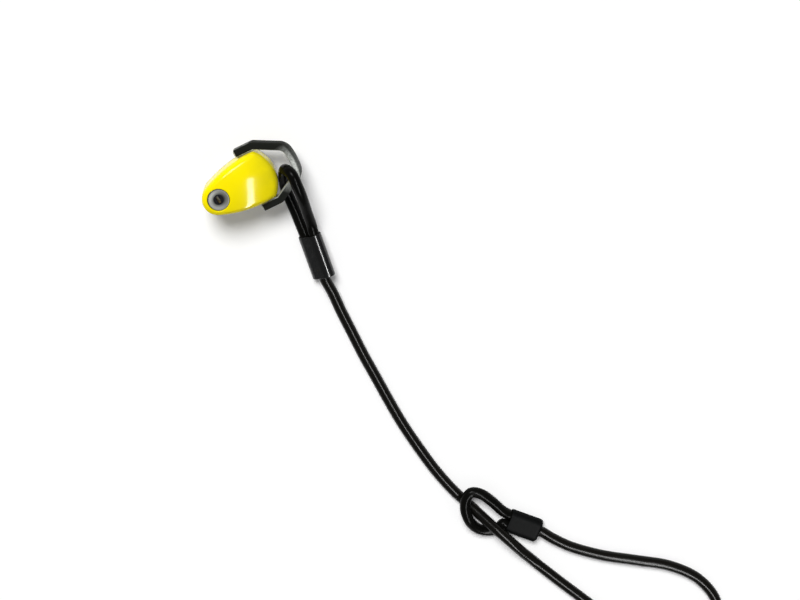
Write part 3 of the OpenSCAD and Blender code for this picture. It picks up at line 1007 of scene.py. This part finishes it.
@dataclass
class KeyCylinder:
    """The steel face of the push-in barrel, dished towards the key core."""

    barrel_r: float = 10.5
    core_r: float = 5.0
    ring_z: float = 48.0
    face_z: float = 50.0
    dish: float = 1.0
    mouth_r: float = 0.35
    land: float = 0.9
    step_in: float = 1.3
    step_h: float = 0.05
    step_r: float = 0.8
    rim_r: float = 0.4
    spigot_r: float = 8.9
    spigot_in: float = 6.7
    spigot_h: float = 0.9
    fine_r: float = 0.1
    foot_r: float = 0.05
    root_r: float = 0.02
    arc_points: int = 6
    sides: int = 96

    def build(self, finishes: Finishes, nodes: dict[str, bpy.types.Object]) -> None:
        """Makes the face ring and dresses the solids of the barrel and the key core.

        Args:
            finishes: the materials.
            nodes: the CAD solids' objects by name.
        """
        foot, face, end = self.ring_z, self.face_z, self.ring_z - self.spigot_h
        profile = rounded([
            (self.core_r, foot, self.foot_r),
            (self.core_r, face - self.dish, self.mouth_r),
            (self.barrel_r - self.step_in, face - self.step_h, self.step_r),
            (self.barrel_r - self.land, face, self.fine_r),
            (self.barrel_r, face, self.rim_r),
            (self.barrel_r, foot, self.foot_r),
            (self.spigot_r, foot, self.root_r),
            (self.spigot_r, end, self.fine_r),
            (self.spigot_in, end, self.fine_r),
            (self.spigot_in, foot, self.root_r)], self.arc_points)
        skin = Skin()
        skin.add(lathe(profile, self.sides), along=True)
        ring = skin.piece("cylinder_face", sharp=45.0)
        dress(ring, finishes.face, Body.PLUNGER, "face_ring")
        looks = {
            finishes.barrel: ("plunger_barrel", "disc_spacers", "sidebar", "return_spring"),
            finishes.casting: ("pin_carrier", "latch_cam"),
            finishes.pin: ("locking_pin", "latch_pawl"),
            finishes.oxide: ("key_plug", "drill_guard"),
            finishes.brass: ("detainer_discs",),
            finishes.rubber: ("barrel_seal",)}
        for material, names in looks.items():
            for name in names:
                repaint(nodes[name], material)


@dataclass
class LockBody:
    """The steel casting with both jaws, and its screws."""

    edge: float = 0.7
    edge_steps: int = 2
    edge_angle: float = 35.0
    flat_angle: float = 1.0
    sharp: float = 30.0

    def broken(self, node: bpy.types.Object, name: str) -> bpy.types.Object:
        """A copy of a CAD solid with its flat faces joined and its edges broken.

        Args:
            node: the solid's object.
            name: the new piece's name.

        Returns:
            The new object.
        """
        mesh = node.data.copy()
        mesh.materials.clear()
        bm = bmesh.new()
        bm.from_mesh(mesh)
        bmesh.ops.remove_doubles(bm, verts=bm.verts, dist=DOUBLE_WITHIN * MM)
        flat = math.radians(self.flat_angle)
        bmesh.ops.dissolve_limit(bm, angle_limit=flat, verts=bm.verts, edges=bm.edges)
        bm.to_mesh(mesh)
        bm.free()
        obj = shown(mesh, name, self.sharp)
        bevel = obj.modifiers.new("broken_edges", "BEVEL")
        bevel.width = self.edge * MM
        bevel.segments = self.edge_steps
        bevel.limit_method = "ANGLE"
        bevel.angle_limit = math.radians(self.edge_angle)
        bevel.use_clamp_overlap = True
        return obj

    def build(self, finishes: Finishes, nodes: dict[str, bpy.types.Object]) -> None:
        """Breaks the casting's edges and dresses its screws.

        Args:
            finishes: the materials.
            nodes: the CAD solids' objects by name.
        """
        body = self.broken(nodes["body_casting"], "jaw_casting")
        dress(body, finishes.casting, Body.LOCK, "body_casting")
        for name in ("shell_screws", "stop_screw"):
            repaint(nodes[name], finishes.oxide)


@dataclass
class Ferrule:
    """Where a ferrule and its shroud lie: the mouth, the axis and the roll about that axis."""

    mouth: tuple[float, float]
    along: tuple[float, float]
    length: float
    end: float
    roll: float = 0.0
    strand: float = 6.025
    inner_r: float = 6.325
    outer_r: float = 7.125

    @property
    def base(self) -> np.ndarray:
        """Middle of the mouth, high enough for the shroud to lie on the floor."""
        lift = self.outer_r + self.strand * math.sin(math.radians(self.roll)) + FLOOR_GAP
        return np.array([self.mouth[0], self.mouth[1], lift])

    @property
    def axes(self) -> np.ndarray:
        """Three unit vectors: across towards the second strand, square to both strands, along."""
        a = np.array([self.along[0], self.along[1], 0.0])
        flat, up = np.array([-a[1], a[0], 0.0]), np.array([0.0, 0.0, 1.0])
        c, r = math.cos(math.radians(self.roll)), math.sin(math.radians(self.roll))
        return np.stack([c * flat + r * up, c * up - r * flat, a])

    def inside(self, places: list[float], off: float = 0.0) -> list[np.ndarray]:
        """Points at distances from the mouth, to one side of the axis."""
        across, _, along = self.axes
        return [self.base + along * s + across * off for s in places]


@dataclass
class Shroud:
    """A vinyl sleeve over a ferrule: an oval tube with an open mouth at the eye's side."""

    name: str
    ferrule: Ferrule
    end_r: float
    hole_r: float = 5.825
    lip_r: float = 0.4
    mouth_in: float = 0.3
    seat_gap: float = 0.1
    lip_rows: int = 6
    body_rows: int = 12
    end_rows: int = 9
    round_points: int = 25
    flat_points: int = 8

    def oval(self, half_w: float, radius: float) -> np.ndarray:
        """A stadium: two half circles of one radius joined by straight sides.

        Args:
            half_w: distance of each half circle's centre from the middle.
            radius: their radius.

        Returns:
            The closed outline.
        """
        right = arc((half_w, 0.0), radius, -90.0, 90.0, self.round_points)
        left = arc((-half_w, 0.0), radius, 90.0, 270.0, self.round_points)
        share = np.linspace(0, 1, self.flat_points)[1:-1, None]
        over = right[-1] + (left[0] - right[-1]) * share
        under = left[-1] + (right[0] - left[-1]) * share
        return np.vstack([right, over, left, under])

    def build(self, skin: bpy.types.Material, node: str) -> None:
        """Makes the sleeve: mouth's lip, outside, rounded end, the run's hole, and the inside.

        Args:
            skin: its material.
            node: the CAD solid that it stands for.
        """
        f, lip_r, end_r = self.ferrule, self.lip_r, self.end_r
        w, ro, ri, seat = f.strand, f.outer_r, f.inner_r, f.end + self.seat_gap
        lip = np.radians(np.linspace(0, 90, self.lip_rows))
        end = np.radians(np.linspace(0, 90, self.end_rows)[1:])
        rows = [(lip_r * (1 - math.cos(q)), w, ro - lip_r * (1 - math.sin(q))) for q in lip]
        rows += [(s, w, ro) for s in np.linspace(lip_r, f.length - end_r, self.body_rows)[1:]]
        rows += [(f.length - end_r * (1 - math.sin(q)), w, ro - end_r * (1 - math.cos(q))) for q in end]
        rows += [(f.length, 0.0, self.hole_r), (seat, 0.0, self.hole_r)]
        rows += [(seat, w, ri), (self.mouth_in, w, ri)]
        across, high, along = f.axes
        plane = np.stack([across, high])
        grid = np.stack([f.base + along * s + self.oval(half_w, r) @ plane for s, half_w, r in rows])
        sleeve = Skin()
        sleeve.add(grid, along=True)
        dress(sleeve.piece(self.name, sharp=50.0), skin, Body.LOCK, node)


@dataclass
class SecurityCable:
    """The covered steel rope: an eye through the bracket, the run, and the far eye of its noose."""

    near: Ferrule
    far: Ferrule
    diameter: float = 11.25
    rise: float = 11.85
    lock_end: tuple[float, float] = (24.0, 25.5)
    far_end: tuple[float, float] = (18.0, 19.5)
    sides: int = 28
    steps: int = 10

    @property
    def lay_z(self) -> float:
        """Height of the middle of a cable that lies on the floor."""
        return self.diameter / 2 + FLOOR_GAP

    def lock_eye(self) -> np.ndarray:
        """Route of the eye round the bracket's leg: under it, up behind the shell, and back over it.

        Returns:
            The route's points.
        """
        z, w = self.lay_z, self.near.strand
        return np.array(
            self.near.inside([self.lock_end[0], 11, 4.5, -2], -w)
            + [(55.5, -70, z + 0.9), (57, -56, z + 0.4), (58, -42.5, z + 0.2), (59.2, -30.5, z + 1.1),
               (62.6, -18.5, z + 6), (68.2, -8, z + 22), (72.2, -5, z + 37.5), (75.5, -10.5, z + 45),
               (75, -22, z + 45), (73, -37, z + 37), (69, -55.5, z + 22), (66, -70.5, z + 11.3)]
            + self.near.inside([-2, 4.5, 11, self.lock_end[0]], w))

    def far_eye(self) -> np.ndarray:
        """Route of the noose's eye, which lies over the run on one side and under it on the other.

        Returns:
            The route's points.
        """
        z, w, up = self.lay_z, self.far.strand, self.lay_z + self.rise
        return np.array(
            self.far.inside([self.far_end[0], 10, 4, -2], w)
            + [(101.5, -439, z + 4.5), (97, -424.5, z + 7.5), (91.3, -410.8, up - 0.6), (83, -404, up),
               (75, -407.5, up), (69, -417.2, up), (66.8, -429.5, up - 1.6), (68, -441.3, z + 5),
               (73, -450.5, z + 1.5), (81.2, -456.2, z), (89.4, -457.4, z + 0.4)]
            + self.far.inside([-4, 1, 8, self.far_end[0]], -w))

    def run(self) -> np.ndarray:
        """Route of the run: over the floor, through the far eye, round its loop, into the far ferrule.

        Returns:
            The route's points.
        """
        z, up = self.lay_z, self.lay_z + self.rise
        first = [(50, -194), (49.5, -220.5), (50, -248.5), (50.5, -278.5), (51.8, -308.2), (55.2, -340.4),
                 (59.5, -369.5), (65.7, -396)]
        loop = [(121, -543.5), (133.8, -571.9), (146, -599.3), (156, -629.5), (170, -657.5), (191, -678.5),
                (219.5, -686), (246, -673.5), (260.5, -644.5), (254.5, -611.5), (233.5, -583), (204, -560),
                (175, -538.3)]
        return np.array(
            self.near.inside([self.lock_end[1], 41, 46, 51])
            + [(52, -146, z + 3), (50.5, -169, z + 0.4)] + [(x, y, z) for x, y in first]
            + [(72.5, -416, z + 0.2), (79.8, -434.3, z + 5.5), (87, -451.7, up - 0.8), (91.2, -462.3, up),
               (96.2, -476.8, up - 1.2), (100.5, -491, z + 6.5), (105, -504.3, z + 2.5),
               (109.7, -517.1, z + 0.4)]
            + [(x, y, z) for x, y in loop] + [(150.7, -515.4, z), (137, -497, z + 1)]
            + self.far.inside([40, 35.5, 31, self.far_end[1]]))

    def lay(self, node: str, route: np.ndarray, ref: tuple[float, float, float],
            skin: bpy.types.Material) -> None:
        """Args:
            node: the solid that it stands for.
            route: the stretch's points.
            ref: direction that its section keeps to.
            skin: its material.
        """
        path = spline(route, self.steps)
        ring = arc((0.0, 0.0), self.diameter / 2, 0.0, 360.0, self.sides + 1)[:-1]
        tube = Skin()
        tube.capped(sweep(path, ring, ref))
        piece = dress(tube.piece(node + "_tube", sharp=60.0), skin, Body.LOCK, node)

    def build(self, finishes: Finishes, nodes: dict[str, bpy.types.Object]) -> None:
        """Lays the three stretches and puts the shrouds over their ferrules.

        Args:
            finishes: the materials.
            nodes: the CAD solids' objects by name.
        """
        self.lay("lock_eye", self.lock_eye(), (1, 0, 0), finishes.eye)
        self.lay("cable_run", self.run(), (0, 0, 1), finishes.cable)
        self.lay("far_eye", self.far_eye(), (0, 0, 1), finishes.eye)
        for name in ("lock_ferrule", "far_ferrule"):
            repaint(nodes[name], finishes.alloy)
        Shroud("lock_sleeve", self.near, end_r=0.8).build(finishes.shroud, "lock_shroud")
        Shroud("far_sleeve", self.far, end_r=3.5).build(finishes.matt, "far_shroud")


# picture


@dataclass
class Viewpoint:
    """The camera: almost along the pin, leaning towards one flank, turned so that the lock slants."""

    picture: tuple[int, int] = (800, 600)
    key_pixel: tuple[float, float] = (218.5, 200.0)
    key_z: float = 50.0
    pixel_mm: float = 0.98
    distance: float = 2000.0
    lean: float = 16.0
    lean_azimuth: float = 75.0
    slant: float = 26.5
    film_mm: float = 36.0
    sight_m: float = 50.0

    def build(self) -> None:
        """Places the camera so that the key face falls on its pixel."""
        lean, side, slant = (math.radians(v) for v in (self.lean, self.lean_azimuth, self.slant))
        back = np.array([math.sin(lean) * math.cos(side), math.sin(lean) * math.sin(side), math.cos(lean)])
        axis = unit(np.array([1.0, 0.0, 0.0]) - back * back[0])
        right = math.cos(slant) * axis - math.sin(slant) * np.cross(back, axis)
        up = np.cross(back, right)
        off_x = (self.key_pixel[0] - self.picture[0] / 2) * self.pixel_mm
        off_y = (self.picture[1] / 2 - self.key_pixel[1]) * self.pixel_mm
        place = np.array([0.0, 0.0, self.key_z]) + back * self.distance - right * off_x - up * off_y
        data = bpy.data.cameras.new("camera")
        data.sensor_width = self.film_mm
        data.lens = self.film_mm * self.distance / (self.picture[0] * self.pixel_mm)
        data.clip_end = self.sight_m
        camera = bpy.data.objects.new("camera", data)
        turn = Matrix(np.stack([right, up, back], 1).tolist()).to_4x4()
        camera.matrix_world = Matrix.Translation((place * MM).tolist()) @ turn
        bpy.context.scene.collection.objects.link(camera)
        bpy.context.scene.camera = camera


@dataclass(frozen=True)
class Sky:
    """A broad distant lamp: the direction it comes from, its spread in degrees, strength and glint."""

    name: str = "key_lamp"
    place: tuple[float, float, float] = (0.10, 0.80, 1.15)
    spread: float = 25.0
    power: float = 3.1
    glint: float = 0.0

    def build(self) -> None:
        """Hangs the lamp so that it shines from its place towards the origin."""
        data = bpy.data.lights.new(self.name, "SUN")
        data.energy = self.power
        data.angle = math.radians(self.spread)
        data.specular_factor = self.glint
        lamp = bpy.data.objects.new(self.name, data)
        lamp.matrix_world = Vector(self.place).to_track_quat("Z", "Y").to_matrix().to_4x4()
        bpy.context.scene.collection.objects.link(lamp)


@dataclass(frozen=True)
class Strip:
    """A long narrow lamp that only shines back from glossy skins: its line, in metres, and its power."""

    name: str = "strip_lamp"
    place: tuple[float, float, float] = (0.25, -1.10, 1.5)
    aim: tuple[float, float, float] = (0.06, -0.25, 0.0)
    along: tuple[float, float, float] = (0.244, 0.970, 0.0)
    width: float = 0.16
    length: float = 2.4
    power: float = 60.0

    def build(self) -> None:
        """Hangs the lamp, with its length in the direction along."""
        data = bpy.data.lights.new(self.name, "AREA")
        data.shape = "RECTANGLE"
        data.size, data.size_y = self.width, self.length
        data.energy = self.power
        lamp = bpy.data.objects.new(self.name, data)
        back = unit(np.array(self.place) - np.array(self.aim))
        right = unit(np.cross(self.along, back))
        turn = Matrix(np.stack([right, np.cross(back, right), back], 1).tolist()).to_4x4()
        lamp.matrix_world = Matrix.Translation(self.place) @ turn
        lamp.visible_diffuse = False
        bpy.context.scene.collection.objects.link(lamp)


@dataclass
class Studio:
    """A plain pale floor, an even surround, a soft lamp above the picture's top, and a strip lamp."""

    floor: PaleFloor = PaleFloor()
    floor_half_m: float = 16.0
    sky: float = 0.22
    lamps: tuple[Sky | Strip, ...] = (Sky(), Strip())

    def build(self) -> None:
        """Makes the floor, the surround and the lamps."""
        h = self.floor_half_m
        mesh = bpy.data.meshes.new("floor")
        mesh.from_pydata([(-h, -h, 0), (h, -h, 0), (h, h, 0), (-h, h, 0)], [], [(0, 1, 2, 3)])
        floor = bpy.data.objects.new("floor", mesh)
        bpy.context.scene.collection.objects.link(floor)
        mesh.materials.append(self.floor.material())
        world = bpy.data.worlds.new("surround")
        world.use_nodes = True
        tree = world.node_tree
        tree.nodes.clear()
        sky = add(tree, "ShaderNodeBackground", {"Color": WHITE, "Strength": self.sky})
        out = tree.nodes.new("ShaderNodeOutputWorld")
        tree.links.new(sky.outputs["Background"], out.inputs["Surface"])
        bpy.context.scene.world = world
        for lamp in self.lamps:
            lamp.build()


def main() -> None:
    """Builds the lock, its cable and the picture."""
    logging.basicConfig(level=logging.INFO, format="%(message)s")
    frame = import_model()
    nodes = frame["nodes"]
    bpy.context.scene.view_settings.view_transform = "Standard"
    finishes = Finishes()
    plan = WedgePlan()
    near = Ferrule(mouth=(59.0, -81.0), along=(-0.14, -0.99), length=46.0, end=41.0, roll=40.0)
    far = Ferrule(mouth=(103.0, -454.0), along=(0.66, -0.75), length=35.5, end=31.0)
    Viewpoint().build()
    SecurityCable(near, far).build(finishes, nodes)
    LockBody().build(finishes, nodes)
    ShellCover(plan).build(finishes)
    CableBracket(plan).build(finishes)
    KeyCylinder().build(finishes, nodes)
    Studio().build()


if __name__ == "__main__":
    main()
